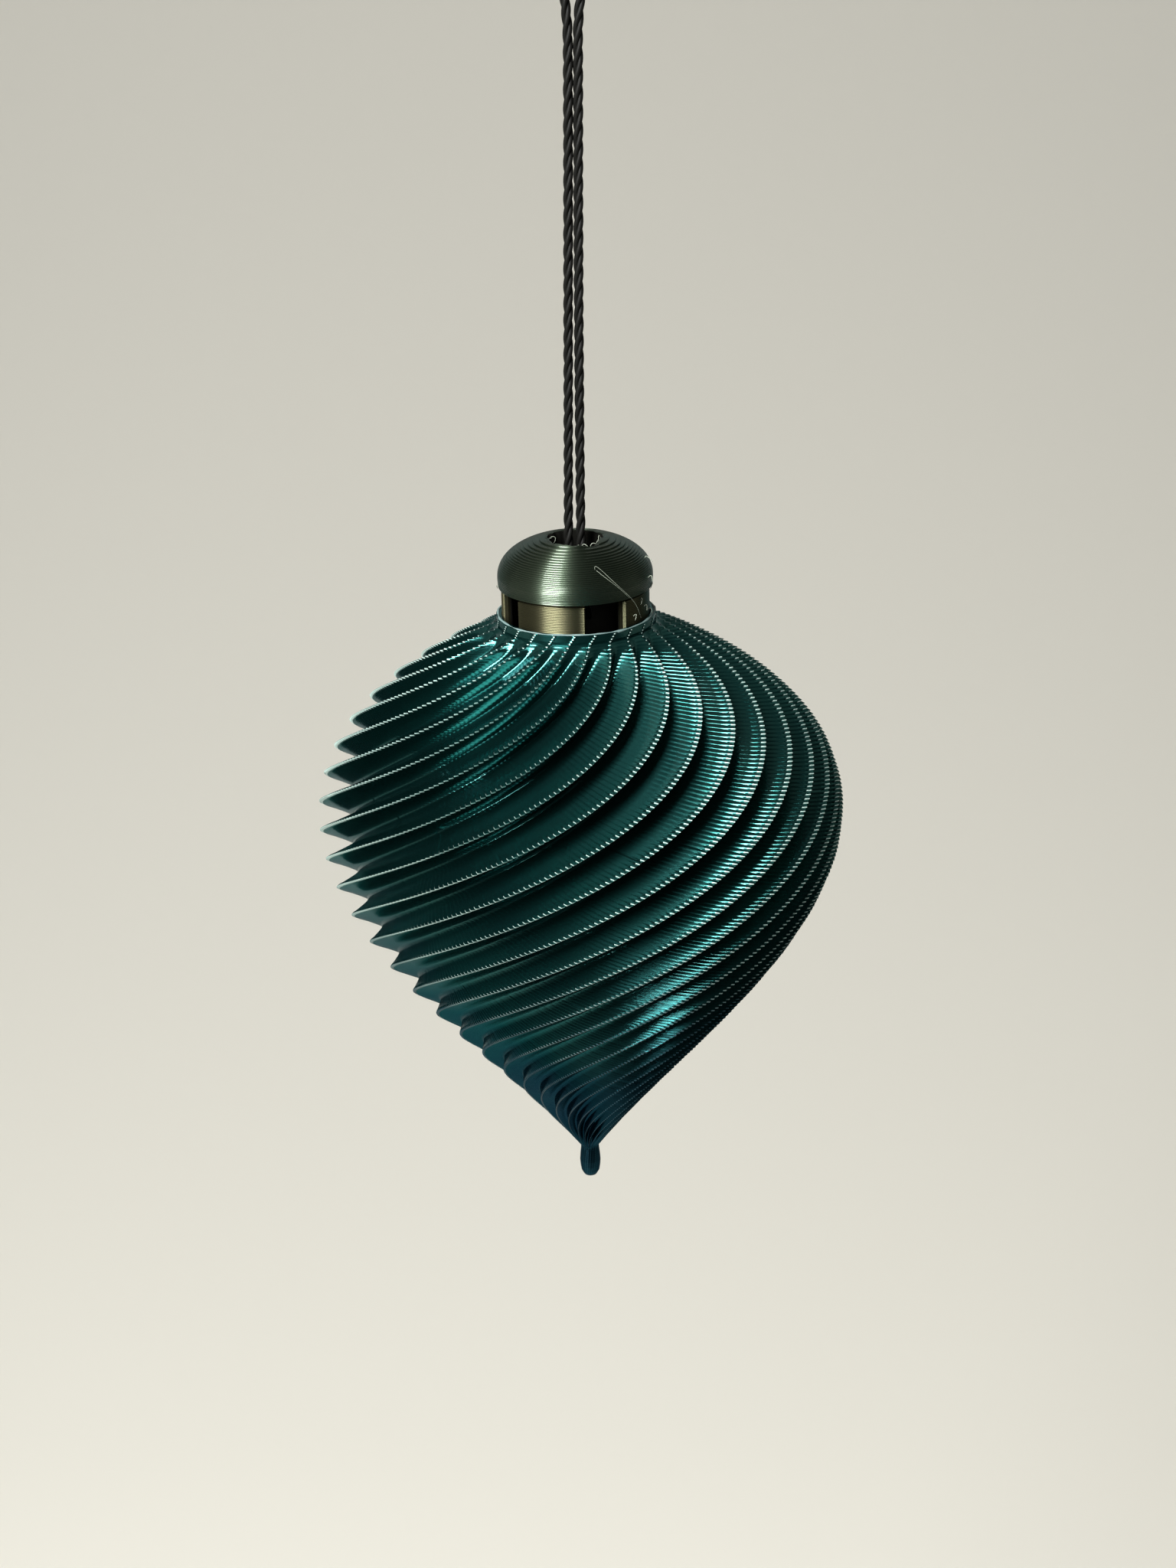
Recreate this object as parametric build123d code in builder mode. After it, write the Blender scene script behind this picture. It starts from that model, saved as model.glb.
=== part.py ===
"""Spiral-ribbed hanging bob: a thin onion-shaped shell, a push-in domed cap and a doubled cord.

The origin is the inside top of the cord's hanging loop, where a hook holds it, and +Z is up.
The bob hangs straight below it and is centred on the Z axis.
"""

import math
import os

from build123d import *

# ---------------------------------------------------------------- driving dimensions, mm
HANG_LENGTH = 158.0  # from the inside top of the loop down to the tip

# Heights are measured upwards from the tip.
# The outline of the rib crests is one cubic Bezier curve: (height, radius).
CREST_OUTLINE = [(4.6, 1.15), (31.8, 20.15), (55.6, 54.5), (75.75, 9.4)]
RIB_COUNT = 25
# Depth of the grooves between the ribs: (height, depth).
GROOVE_DEPTHS = [
    (4.6, 0.0),
    (8.0, 0.9),
    (20.0, 1.7),
    (38.0, 2.4),
    (46.0, 3.1),
    (53.0, 4.2),
    (61.0, 5.0),
    (68.0, 4.6),
    (72.0, 3.9),
    (74.5, 2.2),
    (75.75, 0.0),
]
RIB_FULLNESS = 0.6  # less than 1 makes the ribs fuller and the grooves between them narrower
TWIST_PER_MM = 3.55  # degrees that the ribs turn for each mm of height
TWIST_START = 132.0  # azimuth of a crest at the next height, degrees
TWIST_START_HEIGHT = 40.0
WALL = 0.6  # one printed line
CREST_FILL = 1.4  # the inside is this much less deeply grooved than the outside
POINTS_PER_RIB = 4
RIBS_PER_EDGE = 5  # each level outline is several curves, joined on rib crests
SECTION_COUNT = 22
SECTION_CROWDING = 1.3  # more than 1 brings the sections closer together at the neck
CAVITY_START = 0.05  # share of the outline below which the tip is solid
COLLAR_TOP = 76.9  # the collar goes straight up from the end of the crest outline

# The little nub under the tip is round: (height, radius).
NUB_OUTLINE = [(0.0, 0.4), (0.4, 0.95), (1.2, 1.25), (2.4, 1.33), (3.6, 1.22)]

CAP_SKIRT_RADIUS = 8.65  # 0.15 clear of the collar's bore
CAP_WALL = 1.2
CAP_SKIRT_BOTTOM = 71.6
CAP_LIP_HEIGHT = 80.3  # underside of the dome
CAP_LIP_RADIUS = 8.85
CAP_BELLY_RADIUS = 9.12
CAP_BELLY_HEIGHT = 81.5
CAP_CROWN_RADIUS = 3.6  # the open mouth in the crown
CAP_CROWN_HEIGHT = 86.0
CAP_FLOOR_HEIGHT = 83.4  # underside of the plate that the knot bears on
CAP_FLOOR_THICKNESS = 1.0
CORD_HOLE_RADIUS = 1.75
WINDOW_COUNT = 4
WINDOW_ANGLE = 30.0  # each gap between two tongues of the skirt
WINDOW_MIDDLE = -64.15  # azimuth of the middle of the first gap, degrees
WINDOW_ROUNDING = 0.3

CORD_DIAMETER = 1.05
# The (x, z) of the cord's centreline: up one leg, round the hook and down the other leg.
CORD_ROUTE = [
    (0.74, -75.3),
    (0.56, -14.0),
    (2.61, -1.67),
    (2.01, -0.30),
    (0.75, 0.525),
    (-0.75, 0.525),
    (-2.01, -0.30),
    (-2.61, -1.67),
    (-0.56, -14.0),
    (-0.74, -75.3),
]
ARC_SHARE = 0.45  # of the shorter run, taken by the arc at each corner

KNOT_RADIUS = 2.3
KNOT_HEIGHT = 3.4
KNOT_GAP = 0.1  # to the plate above it
CORD_EMBED = 0.6  # how far the cord goes into the knot
TAIL_LENGTH = 4.0
TAIL_SPREAD = 0.85
TAIL_END_SPREAD = 1.5


def height_to_z(height):
    """The Z of a height above the tip."""
    return height - HANG_LENGTH


# ---------------------------------------------------------------- the ribbed outline
def crest(t):
    """Height and radius of the rib crests, for t from 0 at the tip to 1 at the neck."""
    weights = [(1 - t) ** 3, 3 * t * (1 - t) ** 2, 3 * t**2 * (1 - t), t**3]
    height = sum(weight * point[0] for weight, point in zip(weights, CREST_OUTLINE))
    radius = sum(weight * point[1] for weight, point in zip(weights, CREST_OUTLINE))
    return height, radius


def groove_depth(height):
    """Depth of the grooves at a height, in proportion between the listed ones."""
    for (low, low_depth), (high, high_depth) in zip(GROOVE_DEPTHS, GROOVE_DEPTHS[1:]):
        if height <= high:
            return low_depth + (high_depth - low_depth) * (height - low) / (high - low)
    return 0.0


def level_outline(height, valley_radius, depth):
    """A ribbed outline at one level, as a face, starting on the same rib at every level."""
    turn = TWIST_START + TWIST_PER_MM * (height - TWIST_START_HEIGHT)

    def point(rib):
        share = max((1 + math.cos(2 * math.pi * rib)) / 2, 0.0) ** RIB_FULLNESS
        radius = valley_radius + depth * share
        azimuth = turn + 360 * rib / RIB_COUNT
        return Vector(radius, 0, height_to_z(height)).rotate(Axis.Z, azimuth)

    def crest_tangent(rib):
        return Vector(0, 1).rotate(Axis.Z, turn + 360 * rib / RIB_COUNT)

    curves = []
    for first in range(0, RIB_COUNT, RIBS_PER_EDGE):
        last = first + RIBS_PER_EDGE
        steps = range(RIBS_PER_EDGE * POINTS_PER_RIB + 1)
        points = [point(first + step / POINTS_PER_RIB) for step in steps]
        curves.append(Edge.make_spline(points, tangents=[crest_tangent(first), crest_tangent(last)]))
    return Face(Wire(curves))


def skin_outlines(first, wall, fill):
    """The outlines from t = first up to the neck, wall inside the crests and less deep by fill."""
    outlines = []
    for i in range(SECTION_COUNT):
        share = i / (SECTION_COUNT - 1)
        t = 1 - (1 - first) * (1 - share) ** SECTION_CROWDING
        height, crest_radius = crest(t)
        depth = groove_depth(height)
        outlines.append(level_outline(height, crest_radius - depth - wall, max(depth - fill, 0.0)))
    return outlines


def without_top(faces):
    """All the faces but the highest."""
    return faces.sort_by(Axis.Z)[:-1]


# ---------------------------------------------------------------- ribbed shell
nub_outlines = [level_outline(height, radius, 0.0) for height, radius in NUB_OUTLINE]
with BuildPart() as outer_skin:
    loft(nub_outlines + skin_outlines(0.0, 0.0, 0.0), clean=False)
with BuildPart() as inner_skin:
    loft(skin_outlines(CAVITY_START, WALL, CREST_FILL), clean=False)

neck_outer = outer_skin.faces().sort_by(Axis.Z)[-1].outer_wire()
neck_inner = inner_skin.faces().sort_by(Axis.Z)[-1].outer_wire()
neck_height = CREST_OUTLINE[-1][0]
with BuildPart() as collar:
    extrude(Face(neck_outer, [neck_inner]), amount=COLLAR_TOP - neck_height, dir=(0, 0, 1), clean=False)
collar_walls = collar.faces().sort_by(Axis.Z)[1:]

with BuildPart() as shell:
    skins = [*without_top(outer_skin.faces()), *without_top(inner_skin.faces()), *collar_walls]
    add(Solid(Shell(skins)), clean=False)
shell.part.label = "ribbed_shell"

# ---------------------------------------------------------------- domed cap with its tongues
with BuildPart() as cap:
    with BuildSketch(Plane.XZ):
        with BuildLine():
            skirt_z = height_to_z(CAP_SKIRT_BOTTOM)
            lip_z = height_to_z(CAP_LIP_HEIGHT)
            belly_z = height_to_z(CAP_BELLY_HEIGHT)
            crown_z = height_to_z(CAP_CROWN_HEIGHT)
            floor_z = height_to_z(CAP_FLOOR_HEIGHT)
            floor_top_z = floor_z + CAP_FLOOR_THICKNESS
            inner_radius = CAP_SKIRT_RADIUS - CAP_WALL
            mouth_radius = CAP_CROWN_RADIUS - CAP_WALL / 2
            Polyline(
                (inner_radius, floor_z),
                (inner_radius, skirt_z),
                (CAP_SKIRT_RADIUS, skirt_z),
                (CAP_SKIRT_RADIUS, lip_z),
                (CAP_LIP_RADIUS, lip_z),
            )
            Spline(
                (CAP_LIP_RADIUS, lip_z),
                (CAP_BELLY_RADIUS, belly_z),
                (CAP_CROWN_RADIUS, crown_z),
                tangents=[(0.4, 1), (-1, 0.2)],
            )
            Polyline(
                (CAP_CROWN_RADIUS, crown_z),
                (mouth_radius, crown_z),
                (mouth_radius, floor_top_z),
                (CORD_HOLE_RADIUS, floor_top_z),
                (CORD_HOLE_RADIUS, floor_z),
                (inner_radius, floor_z),
            )
        make_face()
    revolve(axis=Axis.Z)
    with BuildSketch(Plane.XY.offset(skirt_z)):
        with PolarLocations(0, WINDOW_COUNT, start_angle=WINDOW_MIDDLE):
            reach = CAP_SKIRT_RADIUS + 2
            half_width = reach * math.tan(math.radians(WINDOW_ANGLE / 2))
            Polygon((0, 0), (reach, -half_width), (reach, half_width), align=None)
    extrude(amount=lip_z - skirt_z, mode=Mode.SUBTRACT)
    upright = edges().filter_by(Axis.Z)
    fillet(upright.filter_by(lambda edge: edge.center().Z < lip_z), WINDOW_ROUNDING)
cap.part.label = "domed_cap"

# ---------------------------------------------------------------- hanging cord, its knot and tails
knot_top_z = height_to_z(CAP_FLOOR_HEIGHT) - KNOT_GAP
knot_bottom_z = knot_top_z - KNOT_HEIGHT
cord_radius = CORD_DIAMETER / 2


def tail_route(side):
    """The points of one short tail below the knot."""
    return [
        Vector(side * TAIL_SPREAD, 0, knot_bottom_z + CORD_EMBED),
        Vector(side * TAIL_SPREAD, 0, knot_bottom_z - TAIL_LENGTH * 0.4),
        Vector(side * TAIL_END_SPREAD, 0, knot_bottom_z - TAIL_LENGTH),
    ]


def corner_radii(points):
    """The arc at each corner, as large as its share of the shorter run allows."""
    radii = []
    for before, here, after in zip(points, points[1:], points[2:]):
        half_turn = math.radians((here - before).get_angle(after - here)) / 2
        shorter = min((here - before).length, (after - here).length)
        radii.append(ARC_SHARE * shorter / math.tan(half_turn))
    return radii


def report_tube(name, part, length, radii):
    """Prints the radii, and compares the volume with the section times the length."""
    expected = math.pi * cord_radius**2 * length
    rounded = ", ".join(f"{radius:.2f}" for radius in radii)
    print(f"{name}: length {length:.1f}, radii {rounded}, volume {part.volume / expected:.4f} of expected")


with BuildPart() as cord:
    route = [Vector(x, 0, z) for x, z in CORD_ROUTE]
    with BuildLine() as cord_path:
        FilletPolyline(*route, radius=corner_radii(route))
    with BuildSketch(Plane(origin=route[0], z_dir=route[1] - route[0])):
        Circle(cord_radius)
    sweep()
cord.part.label = "hanging_cord"
report_tube("hanging_cord", cord.part, cord_path.wire().length, corner_radii(route))

with BuildPart() as knot:
    with BuildSketch(Plane.XZ):
        with Locations((0, (knot_top_z + knot_bottom_z) / 2)):
            SlotCenterToCenter(2 * KNOT_RADIUS - KNOT_HEIGHT, KNOT_HEIGHT)
        split(bisect_by=Plane.YZ, keep=Keep.TOP)
    revolve(axis=Axis.Z)
knot.part.label = "stopper_knot"

with BuildPart() as tails:
    for side in (-1, 1):
        route = tail_route(side)
        with BuildLine() as tail_path:
            FilletPolyline(*route, radius=corner_radii(route))
        with BuildSketch(Plane(origin=route[0], z_dir=route[1] - route[0])):
            Circle(cord_radius)
        sweep(path=tail_path.wire())
report_tube("cord_tails", tails.part, 2 * tail_path.wire().length, corner_radii(route))
tails.part.label = "cord_tails"

# ---------------------------------------------------------------- files
os.makedirs("parts", exist_ok=True)
export_step(shell.part, "parts/ribbed_shell.step")
export_step(cap.part, "parts/domed_cap.step")
export_step(cord.part, "parts/hanging_cord.step")
export_step(knot.part, "parts/stopper_knot.step")
export_step(tails.part, "parts/cord_tails.step")
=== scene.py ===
import math

import bpy
import numpy as np
from mathutils import Matrix, Vector


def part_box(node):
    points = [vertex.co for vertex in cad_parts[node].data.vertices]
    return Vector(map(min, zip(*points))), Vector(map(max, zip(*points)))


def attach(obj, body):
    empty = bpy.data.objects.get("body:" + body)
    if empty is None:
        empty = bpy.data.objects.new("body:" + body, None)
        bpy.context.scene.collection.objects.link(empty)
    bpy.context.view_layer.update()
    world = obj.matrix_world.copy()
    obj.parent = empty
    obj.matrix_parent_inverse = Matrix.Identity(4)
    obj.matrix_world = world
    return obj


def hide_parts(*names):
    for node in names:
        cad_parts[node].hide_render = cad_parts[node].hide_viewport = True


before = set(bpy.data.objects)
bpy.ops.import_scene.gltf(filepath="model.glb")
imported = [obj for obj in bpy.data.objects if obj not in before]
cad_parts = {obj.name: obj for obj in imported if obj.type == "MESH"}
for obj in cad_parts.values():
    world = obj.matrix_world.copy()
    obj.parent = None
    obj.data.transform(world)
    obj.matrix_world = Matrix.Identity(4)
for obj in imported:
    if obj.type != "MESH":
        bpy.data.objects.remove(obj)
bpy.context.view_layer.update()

# A spiral-ribbed printed bob on a doubled black cord. The scene is in metres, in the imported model's frame:
# the origin is the inside top of the cord's loop and +Z is up. Shapes are worked out in millimetres, and
# heights are measured up from the bob's tip, as in the model, so mesh_object turns both into metres.
MM = 0.001
TIP_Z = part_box("ribbed_shell")[0][2]


# ---------------------------------------------------------------- camera
CAMERA_PLACE = (0.0009, -0.2499, -0.0021)
CAMERA_DOWN = 22  # degrees below level
CAMERA_ROLL = -1.42
CAMERA_LENS = 50.98  # mm, on a picture 36 mm high


def add_camera():
    """The camera looks down at the bob from a quarter of a metre in front of the loop."""
    data = bpy.data.cameras.new("camera")
    data.sensor_fit = "VERTICAL"
    data.sensor_height = 36
    data.lens = CAMERA_LENS
    camera = bpy.data.objects.new("camera", data)
    place = Matrix.Translation(CAMERA_PLACE)
    tilt = Matrix.Rotation(math.radians(90 - CAMERA_DOWN), 4, "X")
    roll = Matrix.Rotation(math.radians(CAMERA_ROLL), 4, "Z")
    camera.matrix_world = place @ tilt @ roll
    bpy.context.collection.objects.link(camera)
    bpy.context.scene.camera = camera


add_camera()


# ---------------------------------------------------------------- meshes
def mesh_object(name, points, faces, sharp_angle=40.0):
    """A smooth-shaded mesh object from points in millimetres above the tip."""
    mesh = bpy.data.meshes.new(name)
    metres = np.asarray(points, float) * MM + (0, 0, TIP_Z)
    mesh.from_pydata(metres.tolist(), [], faces)
    mesh.shade_smooth()
    mesh.set_sharp_from_angle(angle=math.radians(sharp_angle))
    thing = bpy.data.objects.new(name, mesh)
    bpy.context.collection.objects.link(thing)
    return thing


def joined_rings(ring_count, columns, closed_profile=False):
    """Quads between successive rings of points, and from the last ring to the first if asked."""
    faces = []
    for ring in range(ring_count if closed_profile else ring_count - 1):
        low = ring * columns
        high = (ring + 1) % ring_count * columns
        for column in range(columns):
            right = (column + 1) % columns
            faces.append((low + column, low + right, high + right, high + column))
    return faces


def ring_points(radius, azimuth, height):
    """A ring from radii, azimuths in degrees and heights, any of which may be a single number."""
    azimuth = np.radians(azimuth)
    x, y, z = np.broadcast_arrays(radius * np.cos(azimuth), radius * np.sin(azimuth), height)
    return np.stack([x, y, z], axis=1)


def joined_parts(name, parts, sharp_angle=40.0):
    """One object from several (points, faces) parts."""
    points, faces, count = [], [], 0
    for part_points, part_faces in parts:
        points.append(part_points)
        faces += [tuple(corner + count for corner in face) for face in part_faces]
        count += len(part_points)
    return mesh_object(name, np.concatenate(points), faces, sharp_angle)


# ---------------------------------------------------------------- ribbed shell
CREST_OUTLINE = [(4.6, 1.15), (31.8, 20.15), (55.6, 54.5), (75.75, 9.4)]  # Bezier points, (height, radius)
RIB_COUNT = 25
UPPER_RIB_POWER = 1.2  # the shape of the ribs high up, where 1 is a cusp and 2 is a round crest
LOWER_RIB_POWER = 1.15  # the shape of the ribs low down, where 1 is a plain V
RIBS_CHANGE = (26.0, 48.0)  # the heights between which the lower shape turns into the upper one
GROOVE_DEPTHS = [  # (height, depth)
    (4.6, 0.0),
    (8.0, 0.9),
    (20.0, 1.7),
    (38.0, 2.4),
    (46.0, 3.1),
    (53.0, 4.2),
    (61.0, 5.0),
    (68.0, 4.6),
    (72.0, 3.8),
    (74.2, 2.2),
    (75.3, 0.0),
]
TWIST_MIDDLE = (40.0, 132.0)  # a height, and the azimuth of the first crest there
TWIST_SPAN = 30.0
TWIST_TERMS = (106.5, 0.73, 2.76)  # degrees, for the spans above the middle and their square and cube
WALL = 0.6
CREST_FILL = 0.7  # how much shallower the grooves are on the inside of the wall
SHELL_TOP = 76.9
LAYER_COUNT = 265  # printed layers, 0.29 mm each
LAYER_RINGS = ((0.05, 1.0), (0.3, 0.1), (0.7, 0.1))  # (share of a layer's height, share of a seam's depth)
FLANK_STEPS = 0.5  # how far the layers' steps show between the crests: 1 is upright walls and 0 is none
STEPS_START = (8.0, 14.0)  # the steps start at the first height and are whole the second further up
BEAD_SEAM = 0.16  # how far the seam between two layers lies behind their middles on a crest
FLANK_SEAM = 0.004  # and between the crests
SEAMS_START = (24.0, 20.0)  # the seams start at the first height and are whole the second further up
CREST_BEAD = 0.12  # how far the bead along each crest stands out
CREST_WIDTH = 0.05  # the share of a rib that counts as crest, on each side of its line
LAYER_WOBBLE = 0.008  # the scatter of the layers' radii
# The columns of one rib, as shares of it, crowd towards the crest, where the section turns tightest.
RIB_STEPS = [0, 0.045, 0.075, 0.13, 0.21, 0.32, 0.44, 0.56, 0.68, 0.79, 0.87, 0.925, 0.955]
COLUMNS_PER_RIB = len(RIB_STEPS)
COLUMNS = RIB_COUNT * COLUMNS_PER_RIB
NUB_OUTLINE = [(0.0, 0.35), (0.3, 0.85), (0.9, 1.17), (1.6, 1.28), (2.4, 1.33), (3.3, 1.27), (4.2, 1.17)]
CAVITY_BOTTOM = 9.5
INSIDE_RINGS = 24  # rings down the inside of one band
BAND_NAMES = ("shell_tip", "shell_lower", "shell_upper", "shell_neck")

outline_t = np.linspace(0, 1, 400)
outline_weights = np.stack([
    (1 - outline_t) ** 3,
    3 * outline_t * (1 - outline_t) ** 2,
    3 * outline_t**2 * (1 - outline_t),
    outline_t**3,
])
outline_heights, outline_radii = np.array(CREST_OUTLINE).T @ outline_weights
groove_heights = np.linspace(0, SHELL_TOP, 200)
groove_depths = np.interp(groove_heights, *np.array(GROOVE_DEPTHS).T)
groove_depths = np.convolve(np.pad(groove_depths, 2, "edge"), np.ones(5) / 5, "valid")


def crest_radius(height):
    """Radius of the rib crests, the nub and the collar at a height."""
    nub_heights, nub_radii = np.array(NUB_OUTLINE).T
    body = np.interp(height, outline_heights, outline_radii)
    return np.where(height < CREST_OUTLINE[0][0], np.interp(height, nub_heights, nub_radii), body)


def groove_depth(height):
    """Depth of the grooves at a height: nothing at the nub and at the collar."""
    return np.interp(height, groove_heights, groove_depths)


def rib_turn(height):
    """Azimuth of the first crest at a height, degrees. The ribs steepen a little towards both ends."""
    middle_height, middle_azimuth = TWIST_MIDDLE
    along = (height - middle_height) / TWIST_SPAN
    return middle_azimuth + sum(term * along**power for power, term in enumerate(TWIST_TERMS, 1))


# Each column's place in ribs: whole numbers are crests.
rib_phase = np.concatenate([rib + np.array(RIB_STEPS) for rib in range(RIB_COUNT)])
on_crest = np.abs((rib_phase + 0.5) % 1 - 0.5) < CREST_WIDTH
upper_ribs = 1 - np.abs(np.sin(np.pi * rib_phase)) ** UPPER_RIB_POWER
lower_ribs = np.abs(1 - 2 * (rib_phase % 1)) ** LOWER_RIB_POWER


def shell_ring(section_height, height, inset, fill=0.0):
    """The ribbed section of one height, set at another height and drawn in by inset."""
    depth = groove_depth(section_height)
    valley = crest_radius(section_height) - depth - inset
    azimuth = rib_turn(section_height) + 360 * rib_phase / RIB_COUNT
    upper = np.interp(section_height, RIBS_CHANGE, (0.0, 1.0))
    ribs = upper * upper_ribs + (1 - upper) * lower_ribs
    bead = 0.0 if fill else CREST_BEAD * upper * on_crest
    return ring_points(valley + np.maximum(depth - fill, 0.0) * ribs + bead, azimuth, height)


def layer_range(band):
    """The first layer of a band and the first layer above it."""
    return tuple(round(LAYER_COUNT * edge / len(BAND_NAMES)) for edge in (band, band + 1))


def grown(height, start_and_rise, least=0.0):
    """How far something that sets in above a height has grown, from least to 1."""
    start, rise = start_and_rise
    return min(max((height - start) / rise, least), 1.0)


def shell_band(band):
    """The rings of one band of printed layers: up the outside and down the inside."""
    thickness = SHELL_TOP / LAYER_COUNT
    wobble = np.random.default_rng(7).normal(0, LAYER_WOBBLE, LAYER_COUNT)
    first, last = layer_range(band)
    bottom, top = first * thickness, last * thickness
    rings = [shell_ring(bottom, bottom, BEAD_SEAM * on_crest * (first > 0))]  # the tip has no seam
    for layer in range(first, last):
        middle = (layer + 0.5) * thickness
        stepped = grown(middle, STEPS_START)
        steps = stepped * np.where(on_crest, 1.0, FLANK_STEPS)
        seam = np.where(on_crest, BEAD_SEAM, FLANK_SEAM) * grown(middle, SEAMS_START, least=0.1)
        for share, seam_share in LAYER_RINGS:
            height = (layer + share) * thickness
            section_height = height + (middle - height) * steps
            rings.append(shell_ring(section_height, height, seam_share * seam + wobble[layer] * stepped))
    rings.append(shell_ring(top, top, BEAD_SEAM * on_crest))
    for height in np.linspace(top, max(bottom, CAVITY_BOTTOM), INSIDE_RINGS):
        rings.append(shell_ring(height, height, WALL, CREST_FILL))
    return rings


def crest_highlight_faces(band):
    """The faces along the crests that carry a painted highlight: one short dash for each layer."""
    first, last = layer_range(band)
    rings_per_layer = len(LAYER_RINGS)
    faces = []
    for layer in range(last - first):
        for strip in range(rings_per_layer - 1):  # between the layer's own rings
            start = (1 + layer * rings_per_layer + strip) * COLUMNS
            for crest in range(0, COLUMNS, COLUMNS_PER_RIB):
                faces += [start + (crest - 1) % COLUMNS, start + crest]
    return faces


def add_shell():
    """The shell as stacked bands, so that each band's mesh stays a manageable size."""
    bands = []
    for band, name in enumerate(BAND_NAMES):
        rings = shell_band(band)
        points = np.concatenate(rings)
        faces = joined_rings(len(rings), COLUMNS, closed_profile=band > 0)
        if band == 0:
            points = np.concatenate([points, [[0, 0, 0], [0, 0, CAVITY_BOTTOM]]])
            tip, floor = len(points) - 2, len(points) - 1
            inner = (len(rings) - 1) * COLUMNS
            for column in range(COLUMNS):
                right = (column + 1) % COLUMNS
                faces.append((tip, right, column))
                faces.append((floor, inner + column, inner + right))
        thing = mesh_object(name, points, faces, sharp_angle=60)
        # The crest faces take the pale painted highlight.
        for face in crest_highlight_faces(band):
            thing.data.polygons[face].material_index = 1
        bands.append(thing)
    return bands


RIM_RADIUS = 9.2
RIM_THICKNESS = 0.13


def add_collar_rim():
    """The collar's last line of plastic, left pale and uneven."""
    turn = np.linspace(0, 2 * np.pi, 240, endpoint=False)
    radius = RIM_RADIUS + 0.05 * np.sin(5 * turn) + 0.04 * np.sin(13 * turn + 1)
    height = SHELL_TOP - 0.02 + 0.06 * np.sin(9 * turn + 2) * np.sin(4 * turn)
    thickness = RIM_THICKNESS + 0.06 * np.sin(17 * turn) * np.sin(6 * turn + 1)
    line = np.stack([radius * np.cos(turn), radius * np.sin(turn), height], axis=1)
    return mesh_object("collar_rim", *tube(line, thickness, sides=8, closed=True), 80)


# ---------------------------------------------------------------- domed cap
CAP_LAYER = 0.2
CAP_LAYER_RINGS = ((0.1, 1.0), (0.5, 0.0), (0.9, 1.0))  # (share of a layer's height, share of a seam's depth)
DOME_SEAM = 0.034
TONGUE_SEAM = 0.035
CAP_SKIRT_RADIUS = 8.65
CAP_WALL = 1.2
CAP_SKIRT_BOTTOM = 71.6
CAP_LIP_HEIGHT = 80.3
CAP_LIP_RADIUS = 9.05
CAP_BELLY_RADIUS = 9.12
CAP_BELLY_HEIGHT = 81.4
CAP_RISE = 4.82  # from the belly to where the dome would close
CAP_FULLNESS = 2.15  # 2 is an ellipse, and more is squarer
CRATER_RADIUS = 3.45
CAP_FLOOR_TOP = 84.4
CAP_FLOOR_BOTTOM = 83.4
CORD_HOLE_RADIUS = 1.75
WINDOW_COUNT = 4
WINDOW_ANGLE = 31.5
WINDOW_MIDDLE = -66.5
TONGUE_EDGE = 0.35  # rounding of a tongue's upright edges
TONGUE_EDGE_ANGLE = 1.6  # and how many degrees round the skirt it takes
TONGUE_RAISED_EDGE = 0.12  # how far the outside stands out beside a window
TONGUE_INTO_DOME = 0.3
UNDER_LIP = 0.2  # how far a tongue is drawn in where it meets the dome
CAP_COLUMNS = 180


def dome_radius(height):
    """Radius of the dome's outside at a height."""
    above = np.clip((height - CAP_BELLY_HEIGHT) / CAP_RISE, 0, 1)
    below = np.clip((CAP_BELLY_HEIGHT - height) / (CAP_BELLY_HEIGHT - CAP_LIP_HEIGHT), 0, 1)
    side = (1 - above**CAP_FULLNESS) ** (1 / CAP_FULLNESS)
    return CAP_BELLY_RADIUS * side - (CAP_BELLY_RADIUS - CAP_LIP_RADIUS) * below**2


def dome_height(radius):
    """Height of the dome's outside at a radius, above the belly."""
    side = radius / CAP_BELLY_RADIUS
    return CAP_BELLY_HEIGHT + CAP_RISE * (1 - side**CAP_FULLNESS) ** (1 / CAP_FULLNESS)


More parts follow.
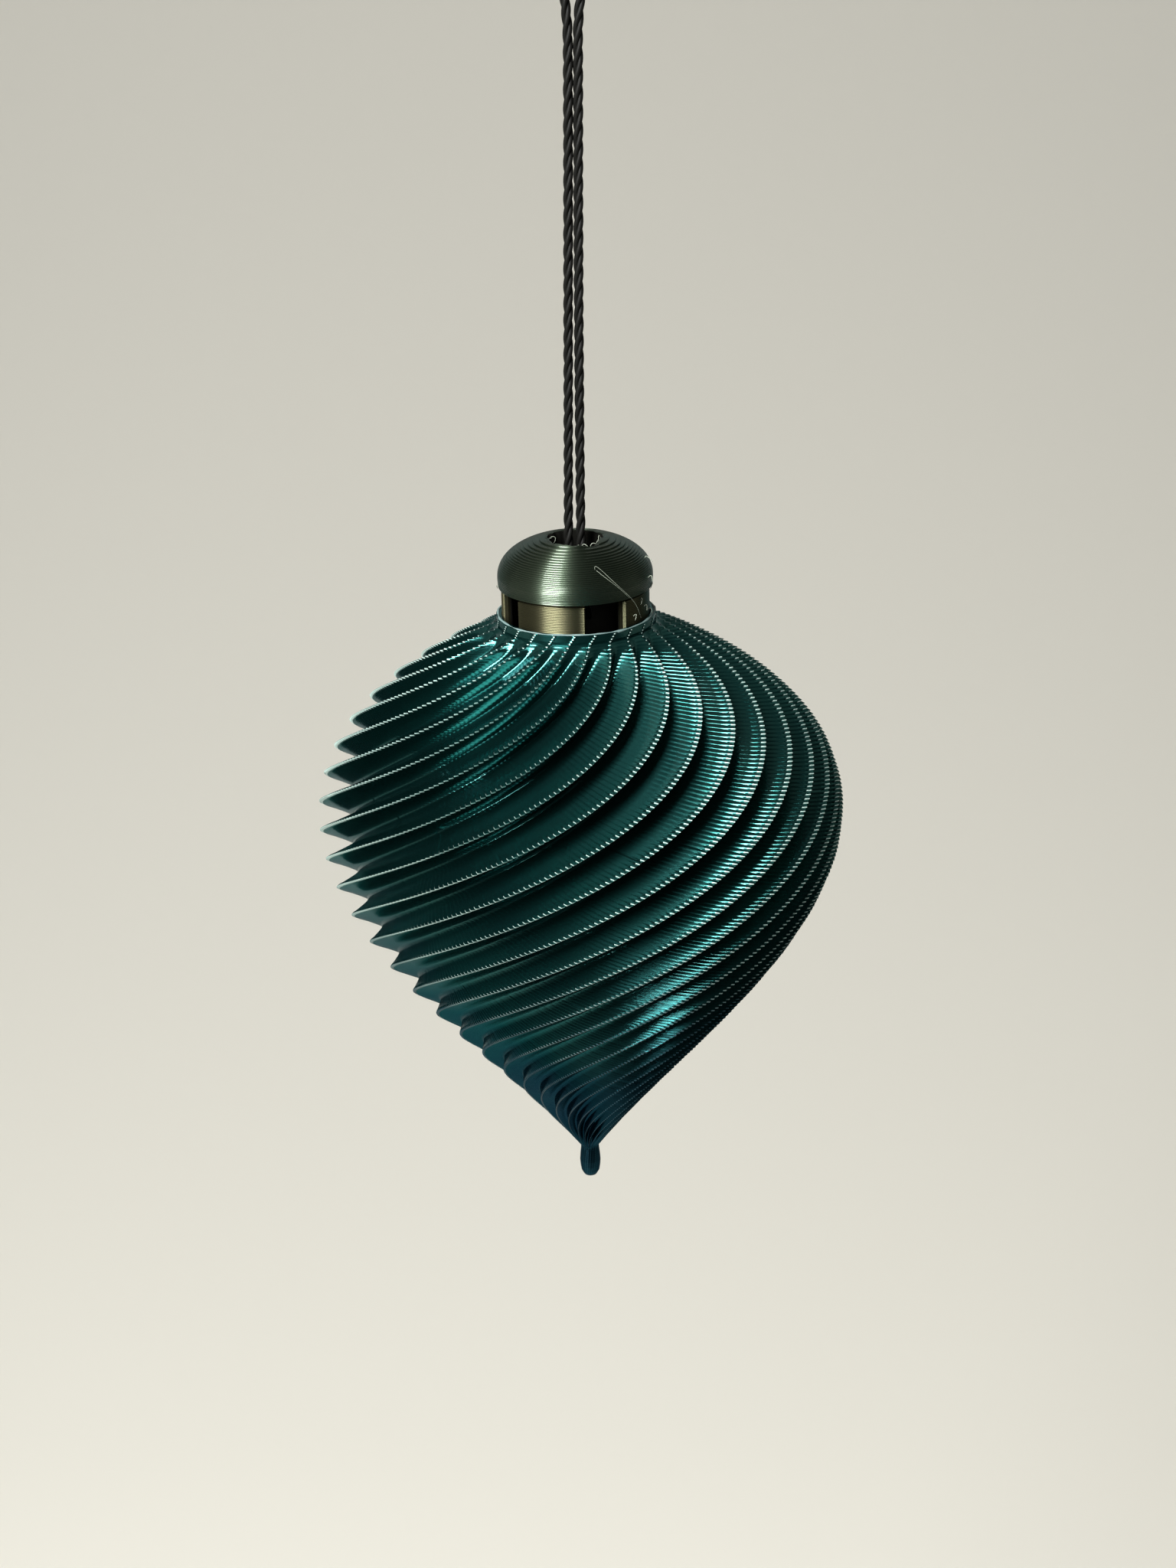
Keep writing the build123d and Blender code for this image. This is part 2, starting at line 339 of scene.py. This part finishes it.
def add_dome():
    """The dome in printed layers, with the ragged mouth where the cord goes in, and its inside faces, which
    take painted shade.
    """
    azimuth = np.arange(CAP_COLUMNS) * 360 / CAP_COLUMNS
    around = np.radians(azimuth)
    ragged = 0.14 * np.sin(3 * around + 1) + 0.10 * np.sin(7 * around) + 0.07 * np.sin(16 * around + 2)
    notch = 1.0 * np.exp(-(((azimuth - 302) / 17) ** 2))
    mouth = CRATER_RADIUS + ragged + notch
    mouth_height = dome_height(mouth)
    rings = []
    layer_count = round((dome_height(CRATER_RADIUS * 0.8) - CAP_LIP_HEIGHT) / CAP_LAYER)
    for layer in range(layer_count):
        middle = CAP_LIP_HEIGHT + (layer + 0.5) * CAP_LAYER
        for share, seam_share in CAP_LAYER_RINGS:
            height = CAP_LIP_HEIGHT + (layer + share) * CAP_LAYER
            radius = np.maximum(dome_radius(middle) - seam_share * DOME_SEAM, mouth)
            rings.append(ring_points(radius, azimuth, np.minimum(height, mouth_height)))
    outside_rings = len(rings)
    rings.append(ring_points(mouth - 0.25, azimuth, mouth_height - 0.05))
    rings.append(ring_points(mouth - 0.45, azimuth, mouth_height - 0.4))
    rings.append(ring_points(mouth - 0.6, azimuth, CAP_FLOOR_TOP))
    rings.append(ring_points(CORD_HOLE_RADIUS + 0.15, azimuth, CAP_FLOOR_TOP))
    rings.append(ring_points(CORD_HOLE_RADIUS, azimuth, CAP_FLOOR_TOP - 0.15))
    rings.append(ring_points(CORD_HOLE_RADIUS, azimuth, CAP_FLOOR_BOTTOM))
    inner_radius = CAP_SKIRT_RADIUS - CAP_WALL
    rings.append(ring_points(inner_radius - 0.6, azimuth, CAP_FLOOR_BOTTOM))
    rings.append(ring_points(inner_radius, azimuth, CAP_FLOOR_BOTTOM - 0.6))
    rings.append(ring_points(inner_radius, azimuth, CAP_LIP_HEIGHT))
    painted_shade_faces = list(range(outside_rings * CAP_COLUMNS, len(rings) * CAP_COLUMNS))
    return np.concatenate(rings), joined_rings(len(rings), CAP_COLUMNS, closed_profile=True), painted_shade_faces


def add_tongue(middle):
    """One tongue of the skirt: a curved block with rounded edges, printed in layers, and its inside faces,
    which take painted shade.
    """
    half_angle = (360 / WINDOW_COUNT - WINDOW_ANGLE) / 2 - TONGUE_EDGE_ANGLE
    outer, inner = CAP_SKIRT_RADIUS, CAP_SKIRT_RADIUS - CAP_WALL + 0.02

    def rounded(face_radius, side, turns):
        """Points round one upright edge, as (radius, angle), turning away from a face."""
        into_wall = 1 if face_radius == inner else -1
        for turn in np.array(turns) * math.pi / 2:
            radius = face_radius + into_wall * TONGUE_EDGE * (1 - math.cos(turn))
            yield radius, side * (half_angle + TONGUE_EDGE_ANGLE * math.sin(turn))

    steps = 24
    section = []
    for angle in np.linspace(-half_angle, half_angle, steps):
        near_edge = max(0.0, 1 - (half_angle - abs(angle)) / 4)
        section.append((outer + TONGUE_RAISED_EDGE * near_edge**2, angle))
    section += rounded(outer, 1, (0.3, 0.6, 0.85))
    section += rounded(inner, 1, (0.85, 0.5, 0.2))
    section += [(inner, angle) for angle in np.linspace(half_angle, -half_angle, steps // 2)]
    section += rounded(inner, -1, (0.2, 0.5, 0.85))
    section += rounded(outer, -1, (0.85, 0.6, 0.3))
    radius, angle = np.array(section).T
    outside = np.clip((radius - inner) / (outer - inner), 0, 1)
    rings = []
    top = CAP_LIP_HEIGHT + TONGUE_INTO_DOME
    layer_count = round((top - CAP_SKIRT_BOTTOM) / CAP_LAYER)
    for layer in range(layer_count):
        for share, seam_share in CAP_LAYER_RINGS:
            height = CAP_SKIRT_BOTTOM + (layer + share) * CAP_LAYER
            drawn_in = UNDER_LIP if height > CAP_LIP_HEIGHT - TONGUE_INTO_DOME else 0.0
            inset = (seam_share * TONGUE_SEAM + drawn_in) * outside
            rings.append(ring_points(radius - inset, angle + middle, height))
    columns = len(section)
    last = (len(rings) - 1) * columns
    faces = joined_rings(len(rings), columns)
    faces.append(tuple(reversed(range(columns))))
    faces.append(tuple(range(last, last + columns)))
    painted_shade_faces = []
    for ring in range(len(rings) - 1):
        painted_shade_faces += range(ring * columns + steps + 3, (ring + 1) * columns - 4)
    return np.concatenate(rings), faces, painted_shade_faces


def add_cap():
    """The dome and its tongues as one printed piece, with the insides set in a near-black material: painted
    shade.
    """
    step = 360 / WINDOW_COUNT
    tongues = [add_tongue(WINDOW_MIDDLE + step * (i + 0.5)) for i in range(WINDOW_COUNT)]
    dome_points, dome_faces, painted_shade_faces = add_dome()
    thing = joined_parts("printed_cap", [(dome_points, dome_faces), *(tongue[:2] for tongue in tongues)])
    first = len(dome_faces)
    for _, faces, shaded_faces in tongues:
        painted_shade_faces += [first + face for face in shaded_faces]
        first += len(faces)
    for face in painted_shade_faces:
        thing.data.polygons[face].material_index = 1
    return thing


def on_dome(azimuth, height, lift):
    """A point just off the dome's outside, or off the tongues below it."""
    radius = CAP_SKIRT_RADIUS if height < CAP_LIP_HEIGHT else float(dome_radius(height))
    turn = math.radians(azimuth)
    return ((radius + lift) * math.cos(turn), (radius + lift) * math.sin(turn), height + lift / 2)


def add_strings():
    """Stray strings of plastic: two long ones over the dome, curls round its mouth, and wisps beside them."""
    long_strings = [  # (azimuth, height, lift)
        [(-73, 84.1, 0.06), (-74, 84.4, 0.5), (-70, 84.2, 0.3), (-61, 82.6, 0.25), (-50, 80.8, 0.3),
         (-42, 78.9, 0.9), (-35, 77.3, 0.5)],
        [(-72, 84.0, 0.06), (-66, 83.1, 0.2), (-59, 82.2, 0.06), (-53, 81.2, 0.2), (-49, 80.4, 0.3)],
    ]
    curls = [  # (azimuth, reach)
        (-92, 0.9), (-74, 0.8), (-58, 1.1), (-30, 1.2),
        (-8, 1.0), (18, 0.9), (160, 1.2), (200, 1.0),
    ]
    wisps = [  # (azimuth, height)
        (-22, 81.8), (-14, 80.6), (-10, 83.6), (-30, 79.5),
        (-24, 78.4), (-40, 77.9), (-16, 77.6), (-170, 80.6),
    ]
    routes = [[on_dome(*point) for point in string] for string in long_strings]
    chance = np.random.default_rng(11)
    for azimuth, reach in curls:
        turn = math.radians(azimuth)
        start = np.array([3.3 * math.cos(turn), 3.3 * math.sin(turn), 85.2])
        towards = np.array([-math.cos(turn + 0.8), -math.sin(turn + 0.8), 0.0]) * reach
        curl = start + towards * 0.5 + (0, 0, 0.6 + 0.4 * chance.random())
        routes.append([start, curl, start + towards + (0, 0, 0.1), start + towards * 0.6 - (0, 0, 0.4)])
    for azimuth, height in wisps:
        reach = 0.5 + 0.9 * chance.random()
        start = np.array(on_dome(azimuth, height, 0.0))
        middle = np.array(on_dome(azimuth + 4 * chance.random(), height + 0.4, 0.35 * reach))
        routes.append([start, middle, np.array(on_dome(azimuth - 3, height - 0.6, 0.5 * reach))])
    parts = []
    for number, route in enumerate(routes):
        line = even_line(smooth_line([tuple(map(float, point)) for point in route]), 0.12)
        thickest = 0.026 if number < len(long_strings) else 0.05  # radius
        taper = thickest * np.interp(np.linspace(0, 1, len(line)), (0, 0.1, 0.85, 1), (1.0, 0.9, 0.75, 0.3))
        parts.append(tube(line, taper, sides=5))
    return joined_parts("stray_strings", parts, 80)


# ---------------------------------------------------------------- twisted cord
STRAND_COUNT = 3
STRAND_LAY = 5.7  # length of one full turn of the strands
STRAND_RADIUS = 0.3
STRAND_OFFSET = 0.265
# The centre line of the taut loop, (x, height above the tip): up one leg, round the hook, down the other.
# The loop leans a little to the right of the bob's axis.
CORD_ROUTE = [
    (0.74, 82.7),
    (0.98, 104.0),
    (1.74, 138.0),
    (1.86, 144.0),
    (4.00, 156.3),
    (3.42, 157.8),
    (2.16, 158.6),
    (0.66, 158.6),
    (-0.60, 157.8),
    (-1.20, 156.3),
    (0.74, 144.0),
    (0.68, 138.0),
    (-0.22, 104.0),
    (-0.74, 82.7),
]


def smooth_line(route):
    """The points of the route's NURBS spline, in millimetres above the tip."""
    data = bpy.data.curves.new("route", "CURVE")
    data.dimensions = "3D"
    data.resolution_u = 24
    spline = data.splines.new("NURBS")
    spline.points.add(len(route) - 1)
    for point, place in zip(spline.points, route):
        point.co = (*place, 1)
    spline.order_u = 3
    spline.use_endpoint_u = True
    holder = bpy.data.objects.new("route", data)
    bpy.context.collection.objects.link(holder)
    bpy.context.view_layer.update()
    mesh = bpy.data.meshes.new_from_object(holder)
    line = np.array([vertex.co[:] for vertex in mesh.vertices])
    bpy.data.objects.remove(holder)
    bpy.data.curves.remove(data)
    bpy.data.meshes.remove(mesh)
    return line


def even_line(line, step):
    """The same line with its points a step apart."""
    lengths = np.concatenate([[0], np.cumsum(np.linalg.norm(np.diff(line, axis=0), axis=1))])
    places = np.linspace(0, lengths[-1], max(2, round(lengths[-1] / step)))
    return np.stack([np.interp(places, lengths, line[:, axis]) for axis in range(3)], axis=1)


def carried_frames(line):
    """Two directions across the line at each point, carried along it without twist."""
    tangents = np.gradient(line, axis=0)
    tangents /= np.linalg.norm(tangents, axis=1)[:, None]
    side = np.cross(tangents[0], (0.31, 1.0, 0.17))
    sides = []
    for tangent in tangents:
        side = side - tangent * np.dot(side, tangent)
        side /= np.linalg.norm(side)
        sides.append(side)
    sides = np.array(sides)
    return sides, np.cross(tangents, sides)


def tube(line, radius, sides=10, closed=False):
    """A round tube along a line, as (points, faces). The radius may differ from point to point."""
    across, up = carried_frames(line)
    radius = np.broadcast_to(radius, len(line))[:, None, None]
    angle = np.arange(sides) * 2 * np.pi / sides
    circle = np.cos(angle)[None, :, None] * across[:, None] + np.sin(angle)[None, :, None] * up[:, None]
    points = (line[:, None] + radius * circle).reshape(-1, 3)
    faces = joined_rings(len(line), sides, closed_profile=closed)
    if not closed:
        last = (len(line) - 1) * sides
        faces.append(tuple(reversed(range(sides))))
        faces.append(tuple(range(last, last + sides)))
    return points, faces


def strands(line):
    """Strands twisted round a line, as (points, faces) parts."""
    line = even_line(line, 0.3)
    across, up = carried_frames(line)
    travelled = np.arange(len(line)) * np.linalg.norm(line[1] - line[0])
    parts = []
    for strand in range(STRAND_COUNT):
        angle = 2 * np.pi * (travelled / STRAND_LAY + strand / STRAND_COUNT)
        place = line + STRAND_OFFSET * (np.cos(angle)[:, None] * across + np.sin(angle)[:, None] * up)
        parts.append(tube(place, STRAND_RADIUS))
    return parts


def add_cord():
    """The loop of twisted cord, and the line that it follows."""
    line = smooth_line([(x, 0, height) for x, height in CORD_ROUTE])
    return joined_parts("twisted_cord", strands(line), 80), even_line(line, 0.5)


def add_knot():
    """The stopper knot under the cap's plate: an overhand knot pulled tight."""
    turn = np.linspace(0, 2 * np.pi, 220)
    x = 0.56 * (np.sin(turn) + 2 * np.sin(2 * turn))
    y = 0.56 * (np.cos(turn) - 2 * np.cos(2 * turn))
    height = 81.6 - 1.1 * np.sin(3 * turn)
    return joined_parts("knotted_cord", strands(np.stack([x, y, height], axis=1)), 80)


def add_tails():
    """The two cut ends of the cord below the knot."""
    parts = []
    for side in (-1, 1):
        route = [(0.85 * side, 0, 80.9), (0.85 * side, 0.1 * side, 78.4), (1.5 * side, 0.2, 75.95)]
        parts += strands(smooth_line(route))
    return joined_parts("cord_ends", parts, 80)


# ---------------------------------------------------------------- materials
def new_material(name):
    """A node material, and its Principled shader."""
    material = bpy.data.materials.new(name)
    material.use_nodes = True
    return material, material.node_tree.nodes["Principled BSDF"]


def silk_material(name, colours, heights, roughness, metallic=0.95):
    """Silk printing plastic, whose colour changes with height and in faint clouds: the filament's own colour
    on the cap, painted shade low on the shell and a painted highlight high on the crests. Pairs are (low,
    high).
    """
    material, shader = new_material(name)
    nodes, links = material.node_tree.nodes, material.node_tree.links
    shader.inputs["Metallic"].default_value = metallic
    shader.inputs["Specular Tint"].default_value = (0.35, 0.45, 0.5, 1)
    shader.inputs["Coat Roughness"].default_value = 0.1
    # The printed lines run round the axis, so the gloss spreads upright.
    shader.inputs["Anisotropic"].default_value = 0.9
    shader.inputs["Anisotropic Rotation"].default_value = 0.25
    position = nodes.new("ShaderNodeTexCoord")
    split = nodes.new("ShaderNodeSeparateXYZ")
    height = nodes.new("ShaderNodeMapRange")
    height.inputs["From Min"].default_value = heights[0] * MM + TIP_Z
    height.inputs["From Max"].default_value = heights[1] * MM + TIP_Z
    cloud = nodes.new("ShaderNodeTexNoise")
    cloud.inputs["Scale"].default_value = 70
    cloud.inputs["Detail"].default_value = 3
    drift = nodes.new("ShaderNodeMapRange")
    drift.inputs["To Min"].default_value = -0.35
    drift.inputs["To Max"].default_value = 0.35
    varnish = nodes.new("ShaderNodeMapRange")
    varnish.inputs["From Min"].default_value = 0.5
    varnish.inputs["To Max"].default_value = 0.3
    dullness = nodes.new("ShaderNodeMapRange")
    dullness.inputs["From Min"].default_value = 0.5
    dullness.inputs["To Min"].default_value = roughness[0]
    dullness.inputs["To Max"].default_value = roughness[1]
    total = nodes.new("ShaderNodeMath")
    total.use_clamp = True
    tint = nodes.new("ShaderNodeMix")
    tint.data_type = "RGBA"
    tint.inputs["A"].default_value = (*colours[0], 1)
    tint.inputs["B"].default_value = (*colours[1], 1)
    links.new(position.outputs["Object"], split.inputs["Vector"])
    links.new(split.outputs["Z"], height.inputs["Value"])
    links.new(position.outputs["Object"], cloud.inputs["Vector"])
    links.new(cloud.outputs["Fac"], drift.inputs["Value"])
    links.new(height.outputs["Result"], total.inputs[0])
    links.new(drift.outputs["Result"], total.inputs[1])
    links.new(total.outputs["Value"], tint.inputs["Factor"])
    links.new(tint.outputs["Result"], shader.inputs["Base Color"])
    links.new(height.outputs["Result"], varnish.inputs["Value"])
    links.new(varnish.outputs["Result"], shader.inputs["Coat Weight"])
    links.new(height.outputs["Result"], dullness.inputs["Value"])
    links.new(dullness.outputs["Result"], shader.inputs["Roughness"])
    return material


def plain_material(name, colour, roughness, gloss=0.5):
    """One plain colour."""
    material, shader = new_material(name)
    shader.inputs["Base Color"].default_value = (*colour, 1)
    shader.inputs["Roughness"].default_value = roughness
    shader.inputs["Specular IOR Level"].default_value = gloss
    return material


# ---------------------------------------------------------------- making
bpy.context.scene.view_settings.view_transform = "Standard"
cord, cord_line = add_cord()
knot = add_knot()
tails = add_tails()
shell_bands = add_shell()
rim = add_collar_rim()
cap = add_cap()
strings = add_strings()

# The shell darkens and turns bluer towards the tip: painted shade over the lower half.
shell_silk = silk_material(
    "teal_silk",
    colours=((0.005, 0.024, 0.036), (0.016, 0.088, 0.081)),
    heights=(12, 52),
    roughness=(0.24, 0.2),
)
cap_silk = silk_material(
    "olive_silk",
    colours=((0.064, 0.061, 0.034), (0.052, 0.070, 0.048)),
    heights=(80.1, 80.4),
    roughness=(0.38, 0.40),
)
# The crests' dashes get a pale painted highlight, which fades out below 34 mm.
crest_highlight_silk = silk_material(
    "painted_crest_highlight",
    colours=((0.010, 0.032, 0.042), (0.34, 0.45, 0.41)),
    heights=(34, 52),
    roughness=(0.34, 0.4),
    metallic=0.3,
)
thread = plain_material("black_thread", (0.004, 0.004, 0.0035), 0.5, gloss=0.08)
for band in shell_bands:
    band.data.materials.append(shell_silk)
    band.data.materials.append(crest_highlight_silk)
    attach(band, "shell")
    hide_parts("ribbed_shell")
rim.data.materials.append(plain_material("pale_edge", (0.075, 0.115, 0.11), 0.6))
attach(rim, "shell")
cap.data.materials.append(cap_silk)
# The cap's insides are painted near-black: painted shade in the hollow.
cap.data.materials.append(plain_material("painted_shade_inside", (0.002, 0.002, 0.0015), 1.0, gloss=0.05))
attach(cap, "cap")
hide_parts("domed_cap")
strings.data.materials.append(plain_material("pale_string", (0.16, 0.18, 0.14), 0.5))
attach(strings, "cap")
for piece, node in ((cord, "hanging_cord"), (knot, "stopper_knot"), (tails, "cord_tails")):
    piece.data.materials.append(thread)
    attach(piece, "cord")
    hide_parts(node)

line_metres = cord_line * MM + (0, 0, TIP_Z)
tuple(line_metres[0])
[tuple(point) for point in line_metres]


# ---------------------------------------------------------------- floor and light
BACKDROP = (0.60, 0.58, 0.51, 1)  # what the camera sees where there is no floor or wall
BOB_MIDDLE = (0, 0, TIP_Z + 0.055)  # what the lamps face


def add_floor():
    """A wide pale floor below the bob that curves up into a wall behind it."""
    bend = 1.4  # radius of the curve
    bend_start = 0.5  # how far behind the bob it starts
    floor_z = TIP_Z - 0.5
    profile = [(-0.5, floor_z)]
    for turn in np.radians(np.linspace(0, 80, 25)):
        profile.append((bend_start + bend * math.sin(turn), floor_z + bend * (1 - math.cos(turn))))
    profile.append((profile[-1][0] + 0.6, profile[-1][1] + 3.4))
    points = [(x, y, z) for y, z in profile for x in (-5.0, 5.0)]
    faces = [(2 * i, 2 * i + 1, 2 * i + 3, 2 * i + 2) for i in range(len(profile) - 1)]
    mesh = bpy.data.meshes.new("floor")
    mesh.from_pydata(points, [], faces)
    mesh.shade_smooth()
    floor = bpy.data.objects.new("floor", mesh)
    bpy.context.collection.objects.link(floor)
    mesh.materials.append(plain_material("pale_card", (0.80, 0.78, 0.70), 0.9))


def add_lamp(name, azimuth, elevation, distance, size, power, in_reflections=True):
    """A rectangular lamp that faces the bob. Azimuth 0 is the camera's side and positive is to its right."""
    data = bpy.data.lights.new(name, "AREA")
    data.shape = "RECTANGLE"
    data.size, data.size_y = size
    data.energy = power
    lamp = bpy.data.objects.new(name, data)
    turn, rise = math.radians(azimuth), math.radians(elevation)
    away = Vector((math.sin(turn) * math.cos(rise), -math.cos(turn) * math.cos(rise), math.sin(rise)))
    lamp.location = Vector(BOB_MIDDLE) + away * distance
    lamp.rotation_euler = away.to_track_quat("Z", "Y").to_euler()
    lamp.visible_camera = False
    lamp.visible_glossy = in_reflections
    bpy.context.collection.objects.link(lamp)


def add_world():
    """A dim room: bright low down behind the bob, dark overhead and behind the camera. Seen directly, it is
    as pale on every side as the floor."""
    world = bpy.data.worlds.new("room")
    bpy.context.scene.world = world
    world.use_nodes = True
    nodes, links = world.node_tree.nodes, world.node_tree.links
    background = nodes["Background"]
    background.inputs["Strength"].default_value = 1.0
    direction = nodes.new("ShaderNodeTexCoord")
    towards_back = nodes.new("ShaderNodeVectorMath")
    towards_back.operation = "DOT_PRODUCT"
    towards_back.inputs[1].default_value = (-0.15, 0.85, -0.30)
    share = nodes.new("ShaderNodeMapRange")
    share.inputs["From Min"].default_value = -0.5
    share.inputs["From Max"].default_value = 0.7
    tint = nodes.new("ShaderNodeMix")
    tint.data_type = "RGBA"
    tint.inputs["A"].default_value = (0.028, 0.030, 0.030, 1)
    tint.inputs["B"].default_value = (0.62, 0.60, 0.53, 1)
    links.new(direction.outputs["Generated"], towards_back.inputs[0])
    links.new(towards_back.outputs["Value"], share.inputs["Value"])
    links.new(share.outputs["Result"], tint.inputs["Factor"])
    seen = nodes.new("ShaderNodeLightPath")
    backdrop = nodes.new("ShaderNodeMix")
    backdrop.data_type = "RGBA"
    backdrop.inputs["B"].default_value = BACKDROP
    links.new(seen.outputs["Is Camera Ray"], backdrop.inputs["Factor"])
    links.new(tint.outputs["Result"], backdrop.inputs["A"])
    links.new(backdrop.outputs["Result"], background.inputs["Color"])


add_floor()
add_lamp("window", azimuth=-38, elevation=38, distance=0.6, size=(0.27, 0.50), power=16)
add_lamp(
    "wall_light", azimuth=-25, elevation=30, distance=2.2, size=(3.0, 3.0), power=52, in_reflections=False
)
add_world()
